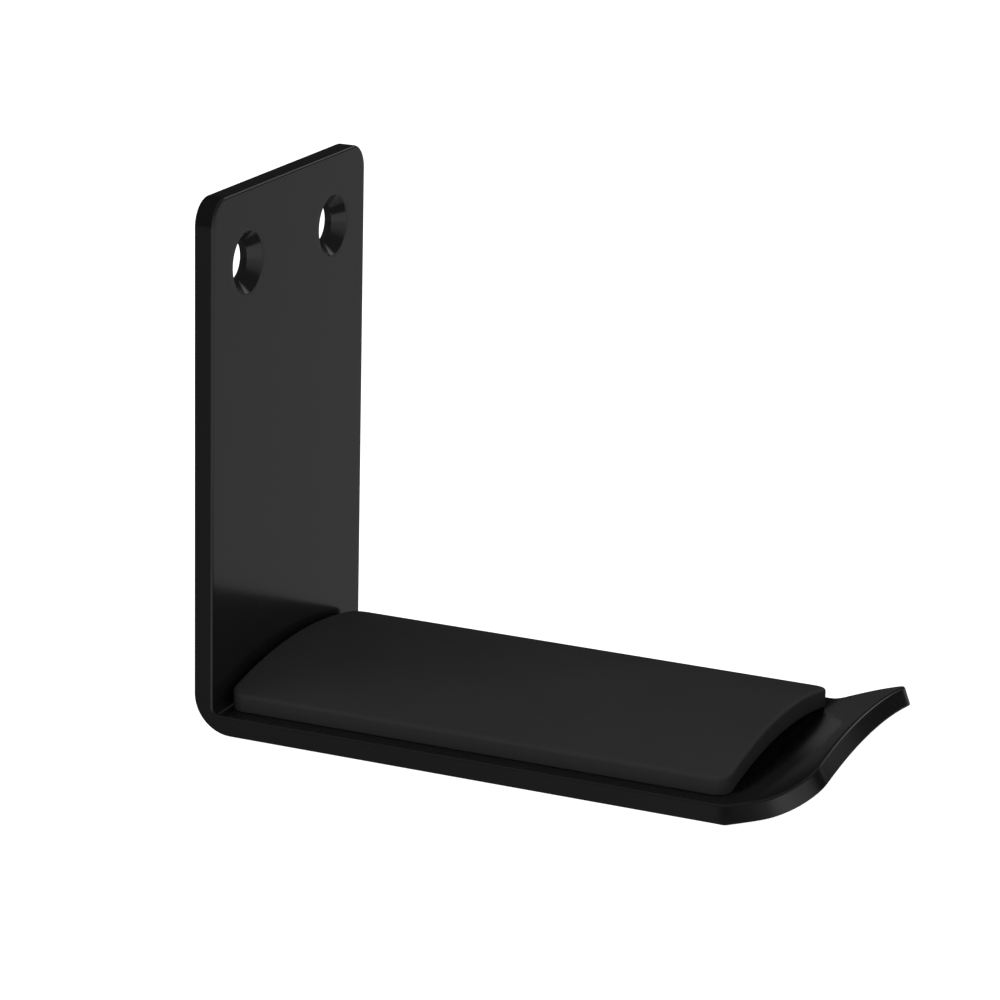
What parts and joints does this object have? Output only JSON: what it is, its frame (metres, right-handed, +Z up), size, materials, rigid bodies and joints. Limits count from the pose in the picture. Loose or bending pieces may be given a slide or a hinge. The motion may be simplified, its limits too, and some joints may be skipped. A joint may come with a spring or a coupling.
{
  "type": "headphone hook",
  "caption": "Bent steel strip hook with a countersunk wall plate, a dished upturned lip and a crowned rubber saddle along its arm.",
  "frame": {"origin": "midway between the two screw holes, on the back face that meets the wall", "axes": "+X away from the wall along the arm, +Y across the width of the strip, +Z up"},
  "size_m": [0.0968, 0.0522, 0.0805],
  "materials": {
    "black_coating": "satin powder coat",
    "black_rubber": "matte",
    "grey_foam": "matte"
  },
  "bodies": {
    "root": {"bracket": "black_coating", "saddle_pad": "black_rubber", "foam_tape": "grey_foam"}
  },
  "joints": []
}
